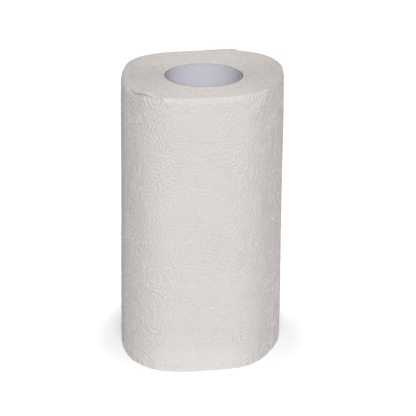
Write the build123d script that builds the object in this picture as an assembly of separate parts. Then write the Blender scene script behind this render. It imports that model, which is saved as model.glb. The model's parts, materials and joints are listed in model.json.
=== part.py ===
"""Paper towel roll: one perforated towel web wound on a lined board core, standing on its end.

Millimetres, +Z up along the core. The origin is on the core's axis at the lower end.
Angles are degrees about +Z from +X. A wound angle runs along the web, from the core out to the tail.
"""

import os
from math import cos, radians, sin

from build123d import *

# Overall sizes
ROLL_HEIGHT = 200.0
ROLL_DIAMETER = 117.3

# Core: a board tube with a white paper lining
CORE_BORE = 52.0
LINER_WALL = 0.2
BOARD_WALL = 1.0
WIND_CLEARANCE = 0.1

# Web: the turns are drawn thicker than the real sheet, and so fewer
TURNS = 14
SHEET_THICKNESS = 0.6
TURN_GAP = 0.3
TURN_GAP_DEPTH = 8.0

# Soft outline: how far each lobe stands out from a round roll, and where it peaks
OFF_CENTRE = 4.5
OFF_CENTRE_AT = 109.5
OVAL = 2.8
OVAL_AT = 50.1
THREE_LOBES = 0.9
THREE_LOBES_AT = 35.7
FOUR_LOBES = 2.4
FOUR_LOBES_AT = -40.4
FIVE_LOBES = 0.4
FIVE_LOBES_AT = 3.6
SIX_LOBES = 0.5
SIX_LOBES_AT = 5.4

# Tail: the free end of the web, which stands off the roll a little
TAIL_AT = 68.2
TAIL_LIFT = 3.0
TAIL_LENGTH = 36.0

# Tear lines: rows of slits across the web, one sheet length apart from the tail
SHEET_LENGTH = 140.0
SLIT_LENGTH = 5.0
SLIT_TIE = 1.6
SLIT_WIDTH = 0.35

# Angles that the outline's arcs and the turn gap's chords span
ARC_STEP = 24.0
CHORD_STEP = 10.0
FULL_TURN = 360.0

wind_radius = CORE_BORE / 2 + LINER_WALL + BOARD_WALL + WIND_CLEARANCE
tail_end = TURNS * FULL_TURN
turn_rise = SHEET_THICKNESS + TURN_GAP


def outline_radius(angle):
    """Outer radius of the soft roll at an angle."""
    lobes = (
        (1, OFF_CENTRE, OFF_CENTRE_AT),
        (2, OVAL, OVAL_AT),
        (3, THREE_LOBES, THREE_LOBES_AT),
        (4, FOUR_LOBES, FOUR_LOBES_AT),
        (5, FIVE_LOBES, FIVE_LOBES_AT),
        (6, SIX_LOBES, SIX_LOBES_AT),
    )
    return ROLL_DIAMETER / 2 + sum(size * cos(radians(n * (angle - peak))) for n, size, peak in lobes)


tail_root = tail_end - TAIL_LENGTH / radians(outline_radius(TAIL_AT))


def angle_at(wound):
    return TAIL_AT + tail_end - wound


def point_at(wound, radius):
    angle = radians(angle_at(wound))
    return Vector(radius * cos(angle), radius * sin(angle))


def tail_lift(wound):
    """How far the tail stands off the roll: none at its root, all at its free edge."""
    share = max(0.0, (wound - tail_root) / (tail_end - tail_root))
    return TAIL_LIFT * share * share


def seat_radius(wound):
    """Inner face of a turn, where it lies on the turn below it."""
    share = (wound - FULL_TURN) / (tail_end - FULL_TURN)
    return wind_radius + share * (outline_radius(angle_at(wound)) - SHEET_THICKNESS - wind_radius)


def tail_inside(wound):
    return seat_radius(wound) + tail_lift(wound)


def outside(wound):
    """Outer face: in the last turn out to the roll's outline, and under the tail the turn that it covers."""
    left = tail_end - wound
    if left > FULL_TURN:
        return seat_radius(wound + FULL_TURN) - TURN_GAP
    return outline_radius(angle_at(wound)) - turn_rise * left / FULL_TURN + tail_lift(wound)


def arcs_along(radius_at, start, end):
    """A face of the web, seen from above, as a chain of arcs between two wound angles."""
    count = max(2, round((end - start) / ARC_STEP))
    step = (end - start) / count
    begins = [start + step * i for i in range(count)]
    return [
        ThreePointArc([point_at(w, radius_at(w)) for w in (begin, begin + step / 2, begin + step)])
        for begin in begins
    ]


def roll_section():
    """The roll from above: its outline with the tail standing off it, and the hole for the core."""
    covered = arcs_along(outside, tail_root - FULL_TURN, tail_end - FULL_TURN)
    shown = arcs_along(outside, tail_end - FULL_TURN, tail_end)
    under_tail = arcs_along(tail_inside, tail_root, tail_end)
    ends = [
        Line(shown[-1] @ 1, under_tail[-1] @ 1),
        Line(under_tail[0] @ 0, covered[0] @ 0),
    ]
    return make_face(covered + shown + under_tail + ends) - Circle(wind_radius)


def lead_edge():
    """Wound angle where the second turn has climbed over the web's first edge."""
    wound = FULL_TURN
    while seat_radius(wound) < wind_radius + turn_rise:
        wound += 1.0
    return wound


def turn_gap_section():
    """The gap between the turns from above: one spiral, from the step at the first edge out to the tail."""
    lead = lead_edge()
    step_back = lead - TURN_GAP / radians(wind_radius)
    below_core_face = wind_radius - TURN_GAP
    count = round((tail_root - lead) / CHORD_STEP)
    wounds = [lead + (tail_root - lead) * i / count for i in range(count + 1)]
    over = [point_at(w, seat_radius(w)) for w in wounds]
    under = [point_at(w, seat_radius(w) - TURN_GAP) for w in wounds]
    step_out = [point_at(step_back, below_core_face), point_at(step_back, seat_radius(lead))]
    step_in = [point_at(lead, below_core_face)]
    return make_face(Polyline(step_out + over + under[::-1] + step_in, close=True))


def tear_line(distance):
    """The slits of one tear line, at a distance from the tail along the outer face."""
    wound = tail_end
    here = point_at(wound, outside(wound))
    travelled = 0.0
    while travelled < distance:
        wound -= 0.25
        there = point_at(wound, outside(wound))
        travelled += (there - here).length
        here = there
    along = point_at(wound - 1, outside(wound - 1)) - here
    face = Plane(here, x_dir=along, z_dir=along.cross(Vector(0, 0, 1)))
    pitch = SLIT_LENGTH + SLIT_TIE
    count = int(ROLL_HEIGHT / pitch)
    heights = [ROLL_HEIGHT / 2 + pitch * (i - (count - 1) / 2) for i in range(count)]
    return [face * Pos(0, z, 0) * Box(SLIT_WIDTH, SLIT_LENGTH, 2 * SHEET_THICKNESS) for z in heights]


def towel_web():
    gap = turn_gap_section()
    lower_gap = extrude(gap, TURN_GAP_DEPTH)
    upper_gap = Pos(0, 0, ROLL_HEIGHT - TURN_GAP_DEPTH) * lower_gap
    last_turn = sum(arc.length for arc in arcs_along(outside, tail_end - FULL_TURN, tail_end))
    tears = int(last_turn / SHEET_LENGTH)
    slits = [slit for n in range(1, tears + 1) for slit in tear_line(n * SHEET_LENGTH)]
    return extrude(roll_section(), ROLL_HEIGHT) - [lower_gap, upper_gap] - slits


def tube(inside_radius, thickness):
    ring = Circle(inside_radius + thickness) - Circle(inside_radius)
    return extrude(ring, ROLL_HEIGHT)


def core_liner():
    return tube(CORE_BORE / 2, LINER_WALL)


def core_tube():
    return tube(CORE_BORE / 2 + LINER_WALL, BOARD_WALL)


pieces = {
    "towel_web": towel_web(),
    "core_tube": core_tube(),
    "core_liner": core_liner(),
}

os.makedirs("parts", exist_ok=True)
for name, piece in pieces.items():
    export_step(piece, f"parts/{name}.step")
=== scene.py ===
"""Paper towel roll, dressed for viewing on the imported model.

The wound web is shown as three embossed sheets, parted by tear lines, over the turns that they cover,
and the core as a board tube with its plies at the cut ends and a white lining with a wound seam.
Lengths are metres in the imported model's frame: the core's axis is +Z, and the photograph looks along +Y.
"""

import json
from math import cos, pi, radians, sin

import bmesh
import bpy
from bpy.props import FloatProperty, FloatVectorProperty, IntProperty, PointerProperty
from mathutils import Matrix, Vector


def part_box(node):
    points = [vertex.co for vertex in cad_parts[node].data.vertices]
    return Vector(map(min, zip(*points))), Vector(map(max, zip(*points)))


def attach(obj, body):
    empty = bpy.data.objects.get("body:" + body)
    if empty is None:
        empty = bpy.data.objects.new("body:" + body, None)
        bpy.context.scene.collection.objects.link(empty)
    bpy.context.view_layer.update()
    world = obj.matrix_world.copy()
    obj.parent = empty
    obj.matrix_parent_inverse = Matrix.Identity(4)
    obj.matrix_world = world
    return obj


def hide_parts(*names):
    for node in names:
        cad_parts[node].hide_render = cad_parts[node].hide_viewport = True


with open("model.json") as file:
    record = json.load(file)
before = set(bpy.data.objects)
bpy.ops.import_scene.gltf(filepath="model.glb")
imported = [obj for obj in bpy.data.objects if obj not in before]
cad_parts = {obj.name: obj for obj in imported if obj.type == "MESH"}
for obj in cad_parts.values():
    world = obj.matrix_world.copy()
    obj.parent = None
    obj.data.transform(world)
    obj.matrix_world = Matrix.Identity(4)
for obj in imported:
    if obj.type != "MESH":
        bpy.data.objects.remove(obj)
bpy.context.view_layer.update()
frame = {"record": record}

bl_info = {
    "name": "Paper Towel Roll",
    "version": (1, 0, 0),
    "blender": (4, 5, 0),
    "location": "3D View > Sidebar > Towel Roll",
    "description": "Embossed sheets, wound turns and a lined board core on the packed roll",
    "category": "Object",
}

MM = 0.001
BODY = "root"
BORE = next(mount for mount in frame["record"]["mounts"] if mount["name"] == "core_bore")
BORE_RADIUS = BORE["dims"]["r_mm"] * MM
LINER_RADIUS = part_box("core_liner")[1].x
BOARD_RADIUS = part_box("core_tube")[1].x
ROLL_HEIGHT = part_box("towel_web")[1].z

# Faces along and up each sheet, and round and across the turns, the board and the lining
SHEET_COLUMNS = 256
SHEET_ROWS = 364
SHEET_BACK_ROWS = 16
SHEET_ROW = ROLL_HEIGHT / SHEET_ROWS
TURN_COLUMNS = 216
BOARD_COLUMNS = 144
LINER_COLUMNS = 288
LINER_ROWS = 96
PROFILE_ROWS = 3

# The web's path is followed a little more than once round the roll
PATH_POINTS = 1600
PATH_ANGLE = radians(430)

SHEET_NAMES = ("tail_sheet", "second_sheet", "third_sheet")
SHEET_SIZES = (
    "tail_at", "tail_lift", "tail_length", "turn_rise", "sheet_length", "sheet_thickness",
    "slit_length", "slit_tie", "slit_width", "motif_size", "line_pitch", "line_depth",
    "curl_start", "curl_width", "curl_slot", "curl_overhang", "curl_rise",
    "crease_at", "crease_height", "fold_at", "fold_height",
    "ripple", "puff", "flare", "shoulder_width", "shoulder_height", "pleats",
)
LOBES = ("off_centre", "oval", "three_lobes", "four_lobes", "five_lobes", "six_lobes")

# The upper rim: how much wider it is rounded at the left, how much less at the right and at the back,
# and where those two fade in, as shares of the distance from the axis
RIM_MORE_LEFT = 1.3
RIM_LESS_RIGHT = 0.6
RIM_LESS_BACK = 0.75
RIM_RIGHT_FADE = (0.3, 0.7)
RIM_BACK_FADE = (0.0, 0.5)

# The embossing: how far motifs are moved and scattered, which of them are wound up or petalled,
# and how strong beads, petals and dots are
SWAY_SCALE = 1.5
SWAY = 0.35
MOTIF_SCATTER = 0.9
BORDER_FADE = (0.02, 0.2)
WOUND_BELOW = 0.35
PETALLED_ABOVE = 0.75
WINDINGS = 5.0
BEAD_SHARE = 0.7
PETALS = 8.0
PETAL_TWIST = 0.6
PETAL_START = 0.6
PETAL_SHARE = 0.7
DOTS_PER_PITCH = 1.3
DOT_SCATTER = 0.8
DOT_FADE = (0.15, 0.6)
DOT_SHARE = 0.28

# The press of the embossing: its random patches, how much flatter it is at the front and the right,
# and the plain margins at the tear lines and at the cut ends
PRESS_PER_METRE = 30.0
PRESS_RANGE = 0.5
PRESS_LEAST = 0.7
FLATTER_FRONT = 0.3
FLATTER_RIGHT = 0.15
TEAR_MARGIN = (0.4 * MM, 2.5 * MM)
END_MARGIN = (0.0, 3.0 * MM)

# The curl: the rows of points that are its lip and the slot under it, how many rows each hangs down,
# the share of the overhang at the edge itself, its lumps, its highest place as a share of its width,
# and how far down the sheet's front and back it is felt
LIP_ROW = 1.0
SLOT_TOP_ROW = 2.0
SLOT_FLOOR_ROW = 3.0
LIP_HANG = 1.1
SLOT_TOP_HANG = 0.3
SLOT_FLOOR_HANG = 0.9
EDGE_OVERHANG = 0.5
LUMPS_PER_METRE = 160.0
LUMP_RANGE = 0.3
LUMP_LEAST = 0.85
CURL_PEAK = 0.62
CURL_PEAK_WIDTH = 0.16
CURL_LIFT = 0.5 * MM
CURL_REACH = 6.0 * MM
SLOT_BACKING_REACH = 4.0 * MM

# The crease is a ridge, a valley and a lesser ridge: how far aside, how wide and how high each is
CREASE_WAVES = ((-0.9 * MM, 1.2 * MM, 1.0), (0.9 * MM, 0.8 * MM, -0.3), (2.8 * MM, 0.9 * MM, 0.3))
CREASE_SLANT = 1.2
CREASE_REACH = 4.0 * MM
FOLD_SLANT = 0.85
FOLD_SOFT_SIDE = 9.0 * MM
FOLD_STEEP_SIDE = 1.9 * MM
FOLD_REACH = 13.0 * MM

# The soft waves, the puff, the flare and the pleats: how fine they are and how far they reach
CLOUD_RANGE = (0.3, 0.7)
RIPPLES_PER_METRE = 24.0
RIPPLE_STRETCH = 0.6
RIPPLE_CALM = 0.6
RIPPLE_CALM_REACH = 30.0 * MM
PUFF_REACH = 5.0 * MM
FLARE_REACH = 8.0 * MM
PLEATS_PER_METRE = 170.0
PLEAT_STRETCH = 0.2
PLEAT_MIDDLE = 0.6
PLEAT_REACH = 14.0 * MM
COVER_FADE = 15.0 * MM

# How close to a tear line a point has to be to lie on it, as a share of the sheet
ON_TEAR_LINE = 0.0001
# Rows of a sheet's back crowd together near its upper edge
BACK_CROWDING = 2.2

# The cut ends and the lining's lap
CORE_PLAY = 0.05 * MM
FLUFF_PER_METRE = 160.0
FLUFF_HEIGHT = 0.5 * MM
FUZZ_PER_METRE = 700.0
FUZZ_HEIGHT = 0.25 * MM
LAP_WIDTH = 6.0 * MM
LAP_HEIGHT = 0.05 * MM

WHITE = (1.0, 1.0, 1.0, 1.0)
PAPER_GLOSS = 0.25
FLOOR_RADIUS = 1.5
FLOOR_SIDES = 96
FLOOR_GREY = 0.82
SENSOR_WIDTH = 36.0

WELD = 0.004 * MM
SHARP = radians(50)


# Sizes and colours that a user would change

def length(name, description, mm):
    return FloatProperty(
        name=name, description=description, default=mm * MM,
        precision=5, subtype="DISTANCE", unit="LENGTH",
    )


def turn(name, description, degrees):
    return FloatProperty(
        name=name, description=description, default=radians(degrees), subtype="ANGLE", unit="ROTATION"
    )


def power(name, description, watts):
    return FloatProperty(name=name, description=description, default=watts, unit="POWER")


def strength(name, description, value):
    return FloatProperty(name=name, description=description, default=value)


def colour(name, description, rgb):
    return FloatVectorProperty(
        name=name, description=description, default=rgb, size=3, min=0, max=1, subtype="COLOR"
    )


class TowelRollSizes(bpy.types.PropertyGroup):
    """Sizes of the roll's pieces."""

    mean_radius: length("Mean radius", "Radius of the roll's pressed ends without its lobes", 58.25)
    off_centre: length("Off centre", "How far the wound web stands off the core's axis", 4.5)
    off_centre_at: turn("Off centre at", "Side that the web stands off to", 109.5)
    oval: length("Oval", "How far two opposite sides stand out", 2.8)
    oval_at: turn("Oval at", "Where the first of the two sides peaks", 50.1)
    three_lobes: length("Three lobes", "How far three sides stand out", 0.9)
    three_lobes_at: turn("Three lobes at", "Where the first of the three sides peaks", 35.7)
    four_lobes: length("Four lobes", "How far the four soft corners stand out", 2.4)
    four_lobes_at: turn("Four lobes at", "Where the first of the four corners peaks", -40.4)
    five_lobes: length("Five lobes", "How far five sides stand out", 0.4)
    five_lobes_at: turn("Five lobes at", "Where the first of the five sides peaks", 3.6)
    six_lobes: length("Six lobes", "How far six sides stand out", 0.5)
    six_lobes_at: turn("Six lobes at", "Where the first of the six sides peaks", 5.4)
    tail_at: turn("Tail at", "Angle of the web's free edge", 69.6)
    tail_lift: length("Tail lift", "How far the free edge stands off the roll", 2.3)
    tail_length: length("Tail length", "Length of the web that is loose", 36)
    sheet_length: length("Sheet length", "Distance between tear lines", 140)
    sheet_thickness: length("Sheet thickness", "Thickness of one sheet, without its embossing", 0.45)
    turn_rise: length("Turn rise", "How much one turn adds to the radius", 0.55)
    slit_length: length("Slit length", "Length of each slit of a tear line", 5.0)
    slit_tie: length("Slit tie", "Paper left between two slits", 1.6)
    slit_width: length("Slit width", "Width of a slit", 0.35)
    motif_size: length("Motif size", "Mean size of one embossed motif", 17)
    line_pitch: length("Line pitch", "Distance between embossed lines", 2.6)
    line_depth: length("Line depth", "Depth of an embossed line", 0.8)
    ripple: length("Ripple", "How far the sheets stand off the turns under them in soft waves", 0.42)
    puff: length("Puff", "How far the sheets puff out between their pressed ends", 0.45)
    shoulder_width: length("Shoulder width", "How far the upper rim of the roll is rounded inwards", 1.7)
    shoulder_height: length("Shoulder height", "How far down that rim is rounded", 4)
    flare: length("Flare", "How far the sheets spread at the front of their lower edge", 2.4)
    pleats: length("Pleats", "Depth of the small upright pleats at the lower edge", 0.5)
    curl_start: length("Curl start", "Where the second sheet's upper edge starts to curl out", 9)
    curl_width: length("Curl width", "Length of that curl along the sheet", 33)
    curl_slot: length("Curl slot", "Depth of the narrow slot under that curl", 0.55)
    curl_overhang: length("Curl overhang", "How far that curl stands out", 1.9)
    curl_rise: length("Curl rise", "How far the sheet is drawn up at the curl's highest place", 1.3)
    crease_at: length("Crease at", "Where the second sheet has a crease beside that curl", 40.8)
    crease_height: length("Crease height", "How far that crease stands out", 2.0)
    fold_at: length("Fold at", "Where the second sheet has a soft fold at a corner of the roll", 124.5)
    fold_height: length("Fold height", "How far that fold stands out", 1.7)
    turns: IntProperty(name="Turns", description="Turns of the web under the outer sheets", default=56)
    turn_groove: length("Turn groove", "Depth of the gap between two turns at the ends", 0.15)
    plies: IntProperty(name="Plies", description="Plies of the board tube", default=4)
    ply_groove: length("Ply groove", "Depth of the line between two plies at the ends", 0.12)
    seam_lead: length("Seam lead", "Height in which the lining's seam goes round once", 150)
    seam_depth: length("Seam depth", "Depth of the lining's seam", 0.08)
    seam_width: length("Seam width", "Width of the lining's seam", 0.5)


class TowelRollColours(bpy.types.PropertyGroup):
    """Colours of the roll's papers."""

    paper: colour("Towel paper", "Colour of the sheets", (0.80, 0.755, 0.732))
    # paper_shade is the sheets' darker random tone, and also the painted shade in the embossed lines
    paper_shade: colour("Paper shade", "Colour of the sheets in the embossed lines", (0.70, 0.656, 0.638))
    edge: colour("Cut edge", "Colour of the cut ends of the turns", (0.86, 0.815, 0.785))
    # edge_shade is the cut ends' darker random tone, and also the painted shade in the gaps between the
    # turns
    edge_shade: colour("Cut edge shade", "Colour between the turns", (0.58, 0.54, 0.515))
    board: colour("Board", "Colour of the core's board", (0.36, 0.25, 0.165))
    board_dark: colour("Board fibres", "Colour of the board's darker fibres", (0.21, 0.135, 0.085))
    lining: colour("Lining", "Colour of the core's lining", (0.77, 0.76, 0.84))
    lining_shade: colour("Lining shade", "Colour of the lining's seam and scuffs", (0.62, 0.62, 0.69))


class TowelRollStage(bpy.types.PropertyGroup):
    """Camera, floor and light."""

    lens: FloatProperty(name="Lens", description="Focal length in millimetres", default=229.5)
    distance: length("Distance", "From the roll's middle to the camera", 1875)
    elevation: turn("Elevation", "Camera's height above the horizon", 20.36)
    lean: turn("Lean", "Camera's turn about its own axis", 0.506)
    shift: FloatVectorProperty(
        name="Shift", description="Camera's shift as a share of the picture",
        size=2, default=(0.0127, 0.0053),
    )
    sky: strength("Sky", "Strength of the even light", 0.22)
    front_power: power("Front light", "Power of the front light", 139.0)
    front_elevation: turn("Front elevation", "Height of the front light above the horizon", 27)
    front_aside: turn("Front aside", "How far the front light stands to the right of the camera", 4.5)
    top_power: power("Top light", "Power of the top light", 52.0)
    top_elevation: turn("Top elevation", "Height of the top light above the horizon", 84)
    lamp_width: length("Lamp width", "Width of each soft light", 1700)
    lamp_distance: length("Lamp distance", "From the roll's middle to each soft light", 4930)
    # The floor glows less beside the roll: painted shade that darkens the floor there and deepens the real
    # shadow at the roll's base
    floor_glow: strength("Floor glow", "How much paler the floor looks than it is lit", 0.64)
    painted_shade_glow: strength("Shade glow", "The same beside the roll", 0.365)
    shade_start: length("Shade start", "From the core's axis to where the floor starts to look paler", 62)
    shade_end: length("Shade end", "From the core's axis to where it looks palest", 100)


# Node trees

class Num:
    """A number in a node tree, which plain sums combine into further nodes."""

    def __init__(self, tree, socket):
        self.tree = tree
        self.socket = socket

    def math(self, operation, *others):
        node = add(self.tree, "ShaderNodeMath", operation=operation)
        for slot, value in zip(node.inputs, (self, *others)):
            put(self.tree, slot, value)
        return Num(self.tree, node.outputs[0])

    def __add__(self, other):
        return self.math("ADD", other)

    def __sub__(self, other):
        return self.math("SUBTRACT", other)

    def __mul__(self, other):
        return self.math("MULTIPLY", other)

    def __truediv__(self, other):
        return self.math("DIVIDE", other)

    def __neg__(self):
        return self * -1.0

    def __rsub__(self, other):
        return -self + other

    __radd__ = __add__
    __rmul__ = __mul__

    def __gt__(self, other):
        return self.math("GREATER_THAN", other)

    def __lt__(self, other):
        return self.math("LESS_THAN", other)

    def __abs__(self):
        return self.math("ABSOLUTE")

    def cos(self):
        return self.math("COSINE")

    def sin(self):
        return self.math("SINE")

    def bell(self):
        """1 where the number is 0, falling smoothly to nothing beyond about 2 on either side."""
        return (self * self * -1.0).math("EXPONENT")

    def between(self, low, high):
        """0 below low, 1 above high, and a smooth rise between them."""
        node = add(self.tree, "ShaderNodeMapRange", interpolation_type="SMOOTHSTEP")
        for name, value in (("Value", self), ("From Min", low), ("From Max", high)):
            put(self.tree, node.inputs[name], value)
        return Num(self.tree, node.outputs[0])

    def held(self, low, high):
        return self.math("MAXIMUM", low).math("MINIMUM", high)


def put(tree, socket, value):
    """Links a socket or a number to an input, or sets it."""
    if isinstance(value, Num):
        value = value.socket
    if isinstance(value, bpy.types.NodeSocket):
        tree.links.new(value, socket)
    else:
        socket.default_value = value


def add(tree, kind, inputs=None, **settings):
    node = tree.nodes.new(kind)
    for name, value in settings.items():
        setattr(node, name, value)
    for name, value in (inputs or {}).items():
        put(tree, node.inputs[name], value)
    return node


def vector(tree, x, y, z=0.0):
    return add(tree, "ShaderNodeCombineXYZ", {"X": x, "Y": y, "Z": z}).outputs[0]


def parts_of(tree, socket):
    """The x, y and z of a vector as numbers."""
    node = add(tree, "ShaderNodeSeparateXYZ", {"Vector": socket})
    return [Num(tree, out) for out in node.outputs]


class Shape:
    """A geometry node tree with a named input for each size, grown into a plain mesh."""

    def __init__(self, name, sizes):
        self.name = name
        self.tree = bpy.data.node_groups.new(name, "GeometryNodeTree")
        self.source = self.tree.nodes.new("NodeGroupInput")
        self.values = {}
        for label, value in sizes.items():
            kind = "NodeSocketInt" if isinstance(value, int) else "NodeSocketFloat"
            socket = self.tree.interface.new_socket(label, in_out="INPUT", socket_type=kind)
            self.values[socket.identifier] = value
        self.tree.interface.new_socket("Geometry", in_out="OUTPUT", socket_type="NodeSocketGeometry")

    def size(self, label):
        return Num(self.tree, self.source.outputs[label])

    def add(self, kind, inputs=None, **settings):
        return add(self.tree, kind, inputs, **settings)

    def lattice(self, columns, rows):
        """A flat net of faces, with each point's share of the way along it and its row."""
        net = self.add(
            "GeometryNodeMeshGrid",
            {"Size X": 1.0, "Size Y": 1.0, "Vertices X": columns + 1, "Vertices Y": rows + 1},
        )
        x, y, _ = parts_of(self.tree, self.add("GeometryNodeInputPosition").outputs[0])
        share = x + 0.5
        row = ((y + 0.5) * float(rows)).math("ROUND")
        return net.outputs["Mesh"], share, row

    def keep(self, geometry, name, value):
        """Stores a vector on every point, for the material to read."""
        node = self.add(
            "GeometryNodeStoreNamedAttribute", {"Name": name}, data_type="FLOAT_VECTOR", domain="POINT"
        )
        put(self.tree, node.inputs["Geometry"], geometry)
        put(self.tree, next(s for s in node.inputs if s.name == "Value" and s.enabled), value)
        return node.outputs[0]

    def grow(self, geometry, place, material):
        """Bends the net to its place, welds its seams and returns it as an object with a plain mesh."""
        bent = self.add("GeometryNodeSetPosition", {"Geometry": geometry, "Position": place})
        seams = {"Geometry": bent.outputs[0], "Distance": WELD}
        welded = self.add("GeometryNodeMergeByDistance", seams)
        real = self.add("GeometryNodeRealizeInstances", {"Geometry": welded.outputs[0]})
        coat = {"Geometry": real.outputs[0], "Material": material}
        painted = self.add("GeometryNodeSetMaterial", coat)
        out = self.tree.nodes.new("NodeGroupOutput")
        self.tree.links.new(painted.outputs[0], out.inputs[0])
        carrier = bpy.data.objects.new(self.name, bpy.data.meshes.new(self.name))
        bpy.context.scene.collection.objects.link(carrier)
        modifier = carrier.modifiers.new(self.name, "NODES")
        modifier.node_group = self.tree
        for identifier, value in self.values.items():
            modifier[identifier] = value
        graph = bpy.context.evaluated_depsgraph_get()
        mesh = bpy.data.meshes.new_from_object(
            carrier.evaluated_get(graph), preserve_all_data_layers=True, depsgraph=graph
        )
        bpy.data.objects.remove(carrier)
        mesh.name = self.name
        close_and_smooth(mesh)
        piece = bpy.data.objects.new(self.name, mesh)
        bpy.context.scene.collection.objects.link(piece)
        return piece


def close_and_smooth(mesh):
    """Caps open ends, turns all faces outwards and shades smooth up to the sharp edges."""
    shell = bmesh.new()
    shell.from_mesh(mesh)
    open_edges = [edge for edge in shell.edges if edge.is_boundary]
    if open_edges:
        bmesh.ops.holes_fill(shell, edges=open_edges, sides=0)
    bmesh.ops.recalc_face_normals(shell, faces=shell.faces)
    if any(not edge.is_manifold for edge in shell.edges):
        raise RuntimeError(f"{mesh.name} isn't closed")
    shell.to_mesh(mesh)
    shell.free()
    mesh.shade_smooth()
    mesh.set_sharp_from_angle(angle=SHARP)


def seat(piece, node):
    """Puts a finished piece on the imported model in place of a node."""
    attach(piece, BODY)
    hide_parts(node)


# The roll's outline and the embossing

def outline_sizes(sizes):
    """The inputs that the outline rule needs."""
    named = {"mean_radius": sizes.mean_radius}
    for lobe in LOBES:
        named[lobe] = getattr(sizes, lobe)
        named[lobe + "_at"] = getattr(sizes, lobe + "_at")
    return named


def outline_radius(shape, angle):
    """Outer radius of the soft roll at an angle."""
    radius = shape.size("mean_radius")
    for count, lobe in enumerate(LOBES, 1):
        radius += shape.size(lobe) * ((angle - shape.size(lobe + "_at")) * float(count)).cos()
    return radius


def rim_width(shape, x, y):
    """How far the upper rim is rounded inwards: most at the roll's left, least at its back."""
    reach = (x * x + y * y).math("SQRT")
    left = (-x / reach).math("MAXIMUM", 0.0)
    right = (x / reach).between(*RIM_RIGHT_FADE)
    back = (y / reach).between(*RIM_BACK_FADE)
    sides = left * left * RIM_MORE_LEFT - right * RIM_LESS_RIGHT + 1.0
    return shape.size("shoulder_width") * sides * (1.0 - back * RIM_LESS_BACK)


def rounded(share):
    """1 at the end of a quarter of an ellipse, where the share is 0, and 0 from a share of 1 on."""
    left = 1.0 - share.held(0.0, 1.0)
    return 1.0 - (1.0 - left * left).math("SQRT")


def web_path(shape):
    """The outer face of the last turn as a curve, from the tail inwards."""
    line = shape.add("GeometryNodeMeshLine", {"Count": PATH_POINTS})
    index = Num(shape.tree, shape.add("GeometryNodeInputIndex").outputs[0])
    left = index * (PATH_ANGLE / (PATH_POINTS - 1))
    tail_at = shape.size("tail_at")
    angle = tail_at + left
    loose = shape.size("tail_length") / outline_radius(shape, tail_at)
    share = (1.0 - left / loose).held(0.0, 1.0)
    radius = outline_radius(shape, angle) - shape.size("turn_rise") * left / (2 * pi)
    radius += shape.size("tail_lift") * share * share
    place = vector(shape.tree, radius * angle.cos(), radius * angle.sin())
    bent = shape.add("GeometryNodeSetPosition", {"Geometry": line.outputs[0], "Position": place})
    return shape.add("GeometryNodeMeshToCurve", {"Mesh": bent.outputs[0]}).outputs[0]


def embossing(tree, along, up, motif, pitch):
    """Depth of the embossed pattern from 0 to 1.

    It is made of beaded rings that run into each other, some of them wound up or petalled.
    along and up are distances on the flat sheet.
    """
    flat = vector(tree, along / motif, up / motif)
    by_hand = add(tree, "ShaderNodeTexNoise", {"Vector": flat, "Scale": SWAY_SCALE, "Detail": 1.0})
    sway, lift, _ = parts_of(tree, by_hand.outputs["Color"])
    spot = vector(tree, along / motif + sway * SWAY, up / motif + lift * SWAY)
    cell = cells(tree, spot, 1.0, MOTIF_SCATTER, "F1")
    border = cells(tree, spot, 1.0, MOTIF_SCATTER, "DISTANCE_TO_EDGE")
    ends = {0: spot, 1: cell.outputs["Position"]}
    from_middle = add(tree, "ShaderNodeVectorMath", ends, operation="SUBTRACT")
    dx, dy, _ = parts_of(tree, from_middle.outputs[0])
    kind, turned, _ = parts_of(tree, cell.outputs["Color"])
    ring = Num(tree, cell.outputs["Distance"]) * motif / pitch
    angle = dy.math("ARCTAN2", dx)
    inside = Num(tree, border.outputs["Distance"]).between(*BORDER_FADE)
    winding = angle * (turned * WINDINGS - WINDINGS / 2).math("ROUND") * (kind < WOUND_BELOW)
    rows = (ring * (2 * pi) + winding).cos() * 0.5 + 0.5
    plain_rows = (ring * (2 * pi)).cos() * 0.5 + 0.5
    rows = plain_rows + (rows - plain_rows) * inside
    bead_count = (ring.math("ROUND") * (2 * pi)).math("ROUND")
    beads = (angle * bead_count + turned * (2 * pi)).cos() * 0.5 + 0.5
    petals = (angle * PETALS + ring * PETAL_TWIST).cos() * 0.5 + 0.5
    petalled = (kind > PETALLED_ABOVE) * (ring > PETAL_START) * inside
    pattern = rows * (beads * BEAD_SHARE + (1.0 - BEAD_SHARE))
    pattern += (petals - pattern) * petalled * PETAL_SHARE
    grain = cells(tree, spot, motif / pitch * DOTS_PER_PITCH, DOT_SCATTER, "F1")
    dots = Num(tree, grain.outputs["Distance"]).between(*DOT_FADE)
    return pattern + (dots - pattern) * DOT_SHARE


def cells(tree, spot, scale, scatter, feature):
    """A flat plane parted into scattered cells."""
    inputs = {"Vector": spot, "Scale": scale, "Randomness": scatter}
    return add(tree, "ShaderNodeTexVoronoi", inputs, voronoi_dimensions="2D", feature=feature)


# Pieces

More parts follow.
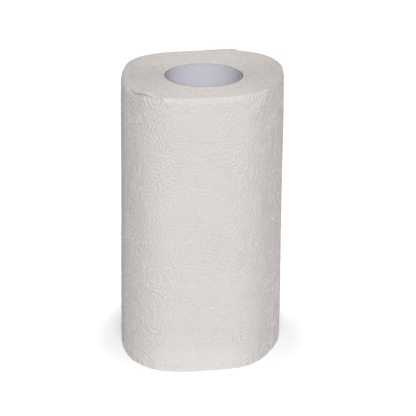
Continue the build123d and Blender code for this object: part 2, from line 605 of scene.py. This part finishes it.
class TOWELROLL_OT_turns(bpy.types.Operator):
    """Make the turns of the web that lie under the outer sheets"""

    bl_idname = "towelroll.turns"
    bl_label = "Wound Turns"

    def execute(self, context):
        sizes = context.scene.towel_roll_sizes
        under_sheets = len(SHEET_NAMES) * sizes.sheet_length / sizes.mean_radius
        inputs = outline_sizes(sizes)
        inputs.update(
            height=ROLL_HEIGHT,
            hole_radius=BOARD_RADIUS + CORE_PLAY,
            turn_rise=sizes.turn_rise,
            cover=sizes.turn_rise * under_sheets / (2 * pi),
            turns=sizes.turns,
            groove=sizes.turn_groove,
            start=sizes.tail_at + under_sheets,
            shoulder_width=sizes.shoulder_width,
            shoulder_height=sizes.shoulder_height,
        )
        shape = Shape("wound_turns", inputs)
        turns, rise, hole = shape.size("turns"), shape.size("turn_rise"), shape.size("hole_radius")
        rows = PROFILE_ROWS * sizes.turns
        net, share, row = shape.lattice(TURN_COLUMNS, 2 * rows + 2)
        angle = shape.size("start") + share * (2 * pi)
        step = (rows + 0.5 - abs(row - (rows + 1.5))).math("MAXIMUM", 0.0)
        wound = step / PROFILE_ROWS + share
        first = wound.math("MINIMUM", 1.0)
        others = ((wound - 1.0) / (turns - 1.0)).held(0.0, 1.0)
        outer = outline_radius(shape, angle) - shape.size("cover")
        inward = rise * first + (outer - rise - hole) * others
        on_top = (row > 0.5) * (row < rows + 1.5)
        radius = outer - inward
        x, y = radius * angle.cos(), radius * angle.sin()
        fluff = shape.add(
            "ShaderNodeTexNoise",
            {"Vector": vector(shape.tree, x, y, on_top), "Scale": FLUFF_PER_METRE, "Detail": 3.0},
        )
        inside = first * (turns - wound).held(0.0, 1.0)
        gap = (step.math("FLOORED_MODULO", PROFILE_ROWS) < 0.5) * inside
        drop = gap * shape.size("groove") + inside * Num(shape.tree, fluff.outputs[0]) * FLUFF_HEIGHT
        shoulder = rounded(inward / rim_width(shape, x, y)) * shape.size("shoulder_height")
        top = shape.size("height") - drop - shoulder
        z = on_top * top + (1.0 - on_top) * drop
        marked = shape.keep(net, "turn", vector(shape.tree, wound, gap, on_top))
        piece = shape.grow(marked, vector(shape.tree, x, y, z), cut_edge_paper(context.scene))
        seat(piece, "towel_web")
        return {"FINISHED"}


class TOWELROLL_OT_sheets(bpy.types.Operator):
    """Make the three embossed sheets of the last turn, parted by tear lines"""

    bl_idname = "towelroll.sheets"
    bl_label = "Outer Sheets"

    def execute(self, context):
        sizes = context.scene.towel_roll_sizes
        material = embossed_paper(context.scene)
        for number, name in enumerate(SHEET_NAMES):
            loose_corner = 1.0 if name == "second_sheet" else 0.0
            piece = self.sheet(name, number * sizes.sheet_length, loose_corner, sizes, material)
            seat(piece, "towel_web")
        return {"FINISHED"}

    def sheet(self, name, start, loose_corner, sizes, material):
        """One sheet: a net that is bent round the web's path, embossed in front and plain behind."""
        inputs = outline_sizes(sizes)
        for label in SHEET_SIZES:
            inputs[label] = getattr(sizes, label)
        inputs.update(height=ROLL_HEIGHT, start=start, loose_corner=loose_corner)
        inputs["one_turn"] = 2 * pi * sizes.mean_radius
        shape = Shape(name, inputs)
        size = shape.size
        last_row = SHEET_ROWS + SHEET_BACK_ROWS + 2
        net, share, row = shape.lattice(SHEET_COLUMNS, last_row)
        back = (row > SHEET_ROWS + 0.5) * (row < last_row - 0.5)
        behind = (row - (SHEET_ROWS + 1.0)).held(0.0, SHEET_BACK_ROWS) / SHEET_BACK_ROWS
        front_up = (row / SHEET_ROWS) * (row < SHEET_ROWS + 0.5)
        up = size("height") * (front_up + back * (1.0 - behind.math("POWER", BACK_CROWDING)))
        down = size("height") - up
        to_end = down.math("MINIMUM", up)
        within = size("sheet_length") * share
        along = size("start") + within

        spot_on_path = {"Curves": web_path(shape), "Length": along + self.tear(size, share, up)}
        path = shape.add("GeometryNodeSampleCurve", spot_on_path, mode="LENGTH")
        px, py, _ = parts_of(shape.tree, path.outputs["Position"])
        tx, ty, _ = parts_of(shape.tree, path.outputs["Tangent"])
        to_front = tx.math("MAXIMUM", 0.0)
        to_right = ty.math("MAXIMUM", 0.0)

        lines = embossing(shape.tree, along, up, size("motif_size"), size("line_pitch"))
        to_tear = (size("sheet_length") * 0.5) - abs(within - size("sheet_length") * 0.5)
        soft = to_tear.between(*TEAR_MARGIN) * to_end.between(*END_MARGIN)
        flattened = to_front * to_front * FLATTER_FRONT + to_right * to_right * FLATTER_RIGHT
        press = self.clouds(shape, along, up, PRESS_PER_METRE, detail=1.5) * PRESS_RANGE + PRESS_LEAST
        press = press * (1.0 - flattened) * soft * (1.0 - back)

        curl_share = ((within - size("curl_start")) / size("curl_width")).held(0.0, 1.0)
        curled = (curl_share * pi).sin()
        lumps = self.clouds(shape, along, up, LUMPS_PER_METRE, detail=1.0) * LUMP_RANGE + LUMP_LEAST
        curl, drawn_up = self.curl(size, curl_share, curled, lumps, down, back)
        loose = curl + self.crease(size, within, down) + self.corner_fold(size, within, down)
        uncovered = 1.0 - along.between(size("one_turn") - COVER_FADE, size("one_turn"))
        swell = self.ripples(shape, along, up, down) + to_end.between(0.0, PUFF_REACH) * size("puff")
        shift = loose * size("loose_corner") + swell * uncovered
        shift += (up / FLARE_REACH).bell() * to_front * to_front * size("flare")
        shift += self.pleats(shape, along, up)
        shift -= rounded(down / size("shoulder_height")) * rim_width(shape, px, py)
        behind_slot = curled * (down / SLOT_BACKING_REACH).bell() * size("curl_slot") * size("loose_corner")
        shift -= back * (size("sheet_thickness") + soft * size("line_depth") + behind_slot)
        shift -= lines * press * size("line_depth")
        z = up + drawn_up * size("loose_corner")
        place = vector(shape.tree, px + ty * shift, py - tx * shift, z)
        marked = shape.keep(net, "sheet", vector(shape.tree, along, up, press))
        return shape.grow(marked, place, material)

    def tear(self, size, share, up):
        """How far a point on a tear line is moved along the sheet, into it where the line is slit."""
        pitch = size("slit_length") + size("slit_tie")
        phase = ((up - size("height") * 0.5) / pitch).math("FLOORED_MODULO", 1.0)
        slit = (abs(phase - 0.5) * pitch * 2.0) < size("slit_length")
        pull_back = slit * size("slit_width") * 0.5
        return pull_back * (share < ON_TEAR_LINE) - pull_back * (share > 1.0 - ON_TEAR_LINE)

    def curl(self, size, curl_share, curled, lumps, down, back):
        """How far the curl stands out, with the slot under it, and how far it is drawn up."""
        rows_down = down / SHEET_ROW
        lip, slot_top, slot_floor = [
            (abs(rows_down - number) < 0.5) * (1.0 - back)
            for number in (LIP_ROW, SLOT_TOP_ROW, SLOT_FLOOR_ROW)
        ]
        full = curled.math("SQRT")
        out = (lip + (rows_down < 0.5) * EDGE_OVERHANG) * lumps * size("curl_overhang")
        out = (out - (slot_top + slot_floor) * size("curl_slot")) * full
        hung = lip * LIP_HANG + slot_top * SLOT_TOP_HANG + slot_floor * SLOT_FLOOR_HANG
        peak = ((curl_share - CURL_PEAK) / CURL_PEAK_WIDTH).bell() * size("curl_rise")
        drawn_up = (peak + curled * CURL_LIFT) * (down / CURL_REACH).bell()
        return out, drawn_up - hung * full * SHEET_ROW

    def crease(self, size, within, down):
        """How far the crease beside the curl stands out."""
        from_crease = within - size("crease_at") - down * CREASE_SLANT
        waves = [
            self.fold(from_crease + aside, width, down, CREASE_REACH) * height
            for aside, width, height in CREASE_WAVES
        ]
        return sum(waves) * size("crease_height")

    def corner_fold(self, size, within, down):
        """How far the fold at a corner of the roll stands out: soft on one side, steep on the other."""
        from_fold = within - size("fold_at") + down * FOLD_SLANT
        width = (from_fold < 0.0) * (FOLD_SOFT_SIDE - FOLD_STEEP_SIDE) + FOLD_STEEP_SIDE
        return self.fold(from_fold, width, down, FOLD_REACH) * size("fold_height")

    def ripples(self, shape, along, up, down):
        """How far the soft waves stand out, which are calmer near the upper edge."""
        waves = self.clouds(shape, along, up * RIPPLE_STRETCH, RIPPLES_PER_METRE, detail=3.0)
        calm = down.between(0.0, RIPPLE_CALM_REACH) * RIPPLE_CALM + (1.0 - RIPPLE_CALM)
        return waves * shape.size("ripple") * calm

    def pleats(self, shape, along, up):
        """How far the small upright pleats at the lower edge stand out."""
        waves = self.clouds(shape, along, up * PLEAT_STRETCH, PLEATS_PER_METRE, detail=1.0)
        return (waves - PLEAT_MIDDLE) * (up / PLEAT_REACH).bell() * shape.size("pleats")

    def clouds(self, shape, along, up, per_metre, detail):
        """Soft random patches on the flat sheet, from 0 to 1."""
        spot = vector(shape.tree, along, up)
        noise = shape.add("ShaderNodeTexNoise", {"Vector": spot, "Scale": per_metre, "Detail": detail})
        return Num(shape.tree, noise.outputs[0]).between(*CLOUD_RANGE)

    def fold(self, aside, width, down, reach):
        """A short ridge that fades downwards from the upper edge, from 0 to 1."""
        return (aside / width).bell() * (down / reach).bell()


class TOWELROLL_OT_board(bpy.types.Operator):
    """Make the core's board tube, with its plies at the cut ends"""

    bl_idname = "towelroll.board"
    bl_label = "Core Board"

    def execute(self, context):
        sizes = context.scene.towel_roll_sizes
        shape = Shape("core_board", dict(
            height=ROLL_HEIGHT, outside=BOARD_RADIUS, inside=LINER_RADIUS,
            plies=sizes.plies, groove=sizes.ply_groove,
        ))
        rows = PROFILE_ROWS * sizes.plies
        net, share, row = shape.lattice(BOARD_COLUMNS, 2 * rows + 2)
        angle = share * (2 * pi)
        step = (float(rows) + 0.5 - abs(row - (rows + 1.5))).math("MAXIMUM", 0.0)
        inward = step / (shape.size("plies") * PROFILE_ROWS)
        radius = shape.size("outside") + inward * (shape.size("inside") - shape.size("outside"))
        x, y = radius * angle.cos(), radius * angle.sin()
        on_top = (row > 0.5) * (row < rows + 1.5)
        fuzz = shape.add(
            "ShaderNodeTexNoise",
            {"Vector": vector(shape.tree, x, y, on_top), "Scale": FUZZ_PER_METRE, "Detail": 2.0},
        )
        between_plies = step.math("FLOORED_MODULO", float(PROFILE_ROWS)) < 0.5
        drop = between_plies * shape.size("groove") + Num(shape.tree, fuzz.outputs[0]) * FUZZ_HEIGHT
        z = on_top * (shape.size("height") - drop) + (1.0 - on_top) * drop
        piece = shape.grow(net, vector(shape.tree, x, y, z), kraft_board(context.scene))
        seat(piece, "core_tube")
        return {"FINISHED"}


class TOWELROLL_OT_lining(bpy.types.Operator):
    """Make the core's white lining, with its seam wound up the bore"""

    bl_idname = "towelroll.lining"
    bl_label = "Core Lining"

    def execute(self, context):
        sizes = context.scene.towel_roll_sizes
        shape = Shape("core_lining", dict(
            height=ROLL_HEIGHT, outside=LINER_RADIUS, inside=BORE_RADIUS, seam_lead=sizes.seam_lead,
            seam_depth=sizes.seam_depth, seam_width=sizes.seam_width,
        ))
        size = shape.size
        net, share, row = shape.lattice(LINER_COLUMNS, 2 * LINER_ROWS + 2)
        outer = (row > LINER_ROWS + 0.5) * (row < 2 * LINER_ROWS + 1.5)
        level = (LINER_ROWS + 0.5 - abs(row - (LINER_ROWS + 0.5))).held(0.0, LINER_ROWS)
        up = size("height") * level / LINER_ROWS
        angle = (share + up / size("seam_lead")) * (2 * pi)
        from_seam = (0.5 - abs(share - 0.5)) * size("inside") * (2 * pi)
        seam = (from_seam / size("seam_width")).bell()
        lap = (share * size("inside") * (2 * pi) / LAP_WIDTH).bell() * (1.0 - seam)
        wall = size("inside") + seam * size("seam_depth") - lap * LAP_HEIGHT
        radius = wall + outer * (size("outside") - wall)
        marked = shape.keep(net, "seam", vector(shape.tree, share, up, seam * (1.0 - outer)))
        place = vector(shape.tree, radius * angle.cos(), radius * angle.sin(), up)
        piece = shape.grow(marked, place, white_lining(context.scene))
        seat(piece, "core_liner")
        return {"FINISHED"}


# Materials

class Finish:
    """A material being written round one surface shader."""

    def __init__(self, name, roughness, sheen=0.0):
        self.material = bpy.data.materials.new(name)
        self.material.use_nodes = True
        self.tree = self.material.node_tree
        self.surface = self.tree.nodes["Principled BSDF"]
        self.surface.inputs["Roughness"].default_value = roughness
        self.surface.inputs["Specular IOR Level"].default_value = PAPER_GLOSS
        self.surface.inputs["Sheen Weight"].default_value = sheen
        self.place = add(self.tree, "ShaderNodeTexCoord").outputs["Object"]

    def noise(self, per_metre, detail=3.0, stretch=(1.0, 1.0, 1.0)):
        """Fine random variation, from 0 to 1."""
        spot = add(self.tree, "ShaderNodeMapping", {"Vector": self.place, "Scale": stretch})
        inputs = {"Vector": spot.outputs[0], "Scale": per_metre, "Detail": detail}
        return Num(self.tree, add(self.tree, "ShaderNodeTexNoise", inputs).outputs[0])

    def stored(self, name):
        """The three numbers that a piece keeps on its points."""
        node = add(self.tree, "ShaderNodeAttribute", attribute_name=name)
        return parts_of(self.tree, node.outputs["Vector"])

    def mix(self, share, first, second):
        node = add(self.tree, "ShaderNodeMix", data_type="RGBA")
        put(self.tree, node.inputs["Factor"], share)
        for slot, value in (("A", first), ("B", second)):
            socket = next(s for s in node.inputs if s.name == slot and s.type == "RGBA")
            put(self.tree, socket, value if isinstance(value, bpy.types.NodeSocket) else (*value, 1.0))
        return next(s for s in node.outputs if s.type == "RGBA")

    def paint(self, tint, height, distance):
        """Sets the colour, and fine relief of a height from 0 to 1 over a distance."""
        put(self.tree, self.surface.inputs["Base Color"], tint)
        inputs = {"Strength": 1.0, "Distance": distance, "Height": height}
        bump = add(self.tree, "ShaderNodeBump", inputs)
        put(self.tree, self.surface.inputs["Normal"], bump.outputs[0])
        return self.material


def embossed_paper(scene):
    """Soft towel paper: warm white, creped and fibrous, with painted shade darkening its embossed lines."""
    colours = scene.towel_roll_colours
    finish = Finish("embossed_paper", roughness=0.95, sheen=0.15)
    along, up, press = finish.stored("sheet")
    sizes = scene.towel_roll_sizes
    lines = embossing(finish.tree, along, up, sizes.motif_size, sizes.line_pitch) * press
    blotches = finish.noise(per_metre=120.0, detail=4.0)
    crepe = finish.noise(per_metre=1500.0, detail=2.0, stretch=(1.0, 1.0, 0.35))
    fibres = finish.noise(per_metre=5000.0, detail=2.0)
    in_blotches, in_crepe, all_over, painted_shade_in_lines = 0.5, 0.12, 0.05, 0.2
    shade = (blotches - 0.5) * in_blotches + crepe * in_crepe + all_over
    uneven = finish.mix(shade, colours.paper, colours.paper_shade)
    # Painted shade: the embossed lines are tinted towards paper_shade, as if shade fell in their grooves
    tint = finish.mix(lines * painted_shade_in_lines, uneven, colours.paper_shade)
    crepe_height, fibre_height, line_height = 0.2, 0.08, 0.36 * MM
    return finish.paint(tint, crepe * crepe_height + fibres * fibre_height - lines, line_height)


def cut_edge_paper(scene):
    """The saw-cut ends of the turns: fluffy edges with narrow gaps between them, darkened by painted shade.
    """
    colours = scene.towel_roll_colours
    finish = Finish("cut_edge_paper", roughness=0.98, sheen=0.1)
    wound, gap, _ = finish.stored("turn")
    bands_per_turn = 0.12
    inputs = {"W": wound * bands_per_turn, "Scale": 1.0, "Detail": 4.0}
    node = add(finish.tree, "ShaderNodeTexNoise", inputs, noise_dimensions="1D")
    bands = Num(finish.tree, node.outputs[0])
    blotches = finish.noise(per_metre=90.0, detail=4.0)
    tufts = finish.noise(per_metre=330.0, detail=2.0)
    fluff = finish.noise(per_metre=2600.0, detail=3.0)
    in_bands, in_blotches, in_tufts, painted_shade_in_gaps, all_over = 0.5, 0.3, 0.95, 0.45, 0.15
    shade = (bands - 0.5) * in_bands + (blotches - 0.5) * in_blotches + (tufts - 0.5) * in_tufts
    # Painted shade: the gaps between the turns are tinted towards edge_shade
    shade += gap * painted_shade_in_gaps + all_over
    tint = finish.mix(shade.held(0.0, 1.0), colours.edge, colours.edge_shade)
    fluff_height = 0.12 * MM
    return finish.paint(tint, fluff, fluff_height)


def kraft_board(scene):
    """Brown board with long darker fibres."""
    colours = scene.towel_roll_colours
    finish = Finish("kraft_board", roughness=0.9)
    fibres = finish.noise(per_metre=900.0, detail=4.0, stretch=(1.0, 1.0, 0.3))
    specks = finish.noise(per_metre=3500.0, detail=2.0)
    contrast, paler = 1.1, 0.2
    tint = finish.mix((fibres * contrast - paler).held(0.0, 1.0), colours.board, colours.board_dark)
    fibre_share, speck_share, height = 0.6, 0.4, 0.08 * MM
    return finish.paint(tint, fibres * fibre_share + specks * speck_share, height)


def white_lining(scene):
    """Smooth, faintly blue white paper with scuffs, and darker along its seam."""
    colours = scene.towel_roll_colours
    finish = Finish("white_lining", roughness=0.6)
    _, _, seam = finish.stored("seam")
    scuffs = finish.noise(per_metre=60.0, detail=5.0, stretch=(1.0, 1.0, 0.4))
    grain = finish.noise(per_metre=2500.0, detail=2.0)
    scuffed_above, in_scuffs, in_seam = 0.45, 0.5, 0.3
    shade = (scuffs - scuffed_above) * in_scuffs + seam * in_seam
    tint = finish.mix(shade.held(0.0, 1.0), colours.lining, colours.lining_shade)
    grain_height = 0.02 * MM
    return finish.paint(tint, grain, grain_height)


# Stage

class TOWELROLL_OT_stage(bpy.types.Operator):
    """Set up the floor, the light and the camera"""

    bl_idname = "towelroll.stage"
    bl_label = "Stage"

    def execute(self, context):
        scene = context.scene
        settings = scene.towel_roll_stage
        scene.view_settings.view_transform = "Standard"
        self.world(scene, settings)
        self.floor(scene, settings)
        front_side, top_side = settings.front_aside, 0.0
        self.lamp(scene, "front_light", settings.front_power, settings.front_elevation, front_side)
        self.lamp(scene, "top_light", settings.top_power, settings.top_elevation, top_side)
        self.camera(scene, settings)
        return {"FINISHED"}

    def seen_directly(self, tree):
        """1 for what the camera sees itself or in gloss and glass, and 0 for light on the object."""
        path = add(tree, "ShaderNodeLightPath")
        seen = Num(tree, path.outputs["Is Camera Ray"])
        for name in ("Is Glossy Ray", "Is Transmission Ray"):
            seen = seen.math("MAXIMUM", path.outputs[name])
        return seen

    def world(self, scene, settings):
        scene.world = bpy.data.worlds.new("even_light")
        scene.world.use_nodes = True
        tree = scene.world.node_tree
        background = tree.nodes["Background"]
        background.inputs["Color"].default_value = WHITE
        seen = self.seen_directly(tree)
        put(tree, background.inputs["Strength"], seen * (1.0 - settings.sky) + settings.sky)

    def floor(self, scene, settings):
        mesh = bpy.data.meshes.new("floor")
        rim = [2 * pi * step / FLOOR_SIDES for step in range(FLOOR_SIDES)]
        corners = [(FLOOR_RADIUS * cos(a), FLOOR_RADIUS * sin(a), 0.0) for a in rim]
        mesh.from_pydata(corners, [], [range(FLOOR_SIDES)])
        material = bpy.data.materials.new("pale_floor")
        material.use_nodes = True
        tree = material.node_tree
        surface = tree.nodes["Principled BSDF"]
        surface.inputs["Base Color"].default_value = (FLOOR_GREY, FLOOR_GREY, FLOOR_GREY, 1.0)
        surface.inputs["Roughness"].default_value = 1.0
        surface.inputs["Specular IOR Level"].default_value = 0.0
        surface.inputs["Emission Color"].default_value = WHITE
        x, y, _ = parts_of(tree, add(tree, "ShaderNodeTexCoord").outputs["Object"])
        # Painted shade: less glow near the roll makes the floor look darker beside it
        from_roll = (x * x + y * y).math("SQRT").between(settings.shade_start, settings.shade_end)
        glow = from_roll * (settings.floor_glow - settings.painted_shade_glow) + settings.painted_shade_glow
        put(tree, surface.inputs["Emission Strength"], self.seen_directly(tree) * glow)
        mesh.materials.append(material)
        floor = bpy.data.objects.new("floor", mesh)
        scene.collection.objects.link(floor)

    def lamp(self, scene, name, watts, elevation, aside):
        """A square soft light that faces the roll's middle, turned to the right of the camera."""
        settings = scene.towel_roll_stage
        light = bpy.data.lights.new(name, "AREA")
        light.size = settings.lamp_width
        light.energy = watts
        lamp = bpy.data.objects.new(name, light)
        away = Vector((cos(elevation) * sin(aside), -cos(elevation) * cos(aside), sin(elevation)))
        lamp.location = Vector((0, 0, ROLL_HEIGHT / 2)) + away * settings.lamp_distance
        lamp.rotation_euler = (-away).to_track_quat("-Z", "Y").to_euler()
        scene.collection.objects.link(lamp)

    def camera(self, scene, settings):
        lens = bpy.data.cameras.new("photo_camera")
        lens.lens = settings.lens
        lens.sensor_width = SENSOR_WIDTH
        lens.shift_x, lens.shift_y = settings.shift
        camera = bpy.data.objects.new("photo_camera", lens)
        away = Vector((0.0, -cos(settings.elevation), sin(settings.elevation)))
        turned = (-away).to_track_quat("-Z", "Y").to_matrix().to_4x4()
        place = Vector((0, 0, ROLL_HEIGHT / 2)) + away * settings.distance
        lean = Matrix.Rotation(settings.lean, 4, "Z")
        camera.matrix_world = Matrix.Translation(place) @ turned @ lean
        scene.collection.objects.link(camera)
        scene.camera = camera


# Sidebar, registration and the run

class TOWELROLL_PT_sidebar(bpy.types.Panel):
    """Sizes, colours and pieces of the roll"""

    bl_idname = "TOWELROLL_PT_sidebar"
    bl_label = "Towel Roll"
    bl_space_type = "VIEW_3D"
    bl_region_type = "UI"
    bl_category = "Towel Roll"

    def draw(self, context):
        scene = context.scene
        for group in (scene.towel_roll_sizes, scene.towel_roll_colours, scene.towel_roll_stage):
            box = self.layout.box()
            for name in group.__annotations__:
                box.prop(group, name)
        for step in STEPS:
            self.layout.operator(step.bl_idname)


STEPS = (
    TOWELROLL_OT_turns,
    TOWELROLL_OT_sheets,
    TOWELROLL_OT_board,
    TOWELROLL_OT_lining,
    TOWELROLL_OT_stage,
)
CLASSES = (TowelRollSizes, TowelRollColours, TowelRollStage, *STEPS, TOWELROLL_PT_sidebar)


def register():
    for cls in CLASSES:
        bpy.utils.register_class(cls)
    bpy.types.Scene.towel_roll_sizes = PointerProperty(type=TowelRollSizes)
    bpy.types.Scene.towel_roll_colours = PointerProperty(type=TowelRollColours)
    bpy.types.Scene.towel_roll_stage = PointerProperty(type=TowelRollStage)


def unregister():
    del bpy.types.Scene.towel_roll_sizes
    del bpy.types.Scene.towel_roll_colours
    del bpy.types.Scene.towel_roll_stage
    for cls in reversed(CLASSES):
        bpy.utils.unregister_class(cls)


def main():
    register()
    bpy.ops.towelroll.turns()
    bpy.ops.towelroll.sheets()
    bpy.ops.towelroll.board()
    bpy.ops.towelroll.lining()
    bpy.ops.towelroll.stage()


if __name__ == "__main__":
    main()
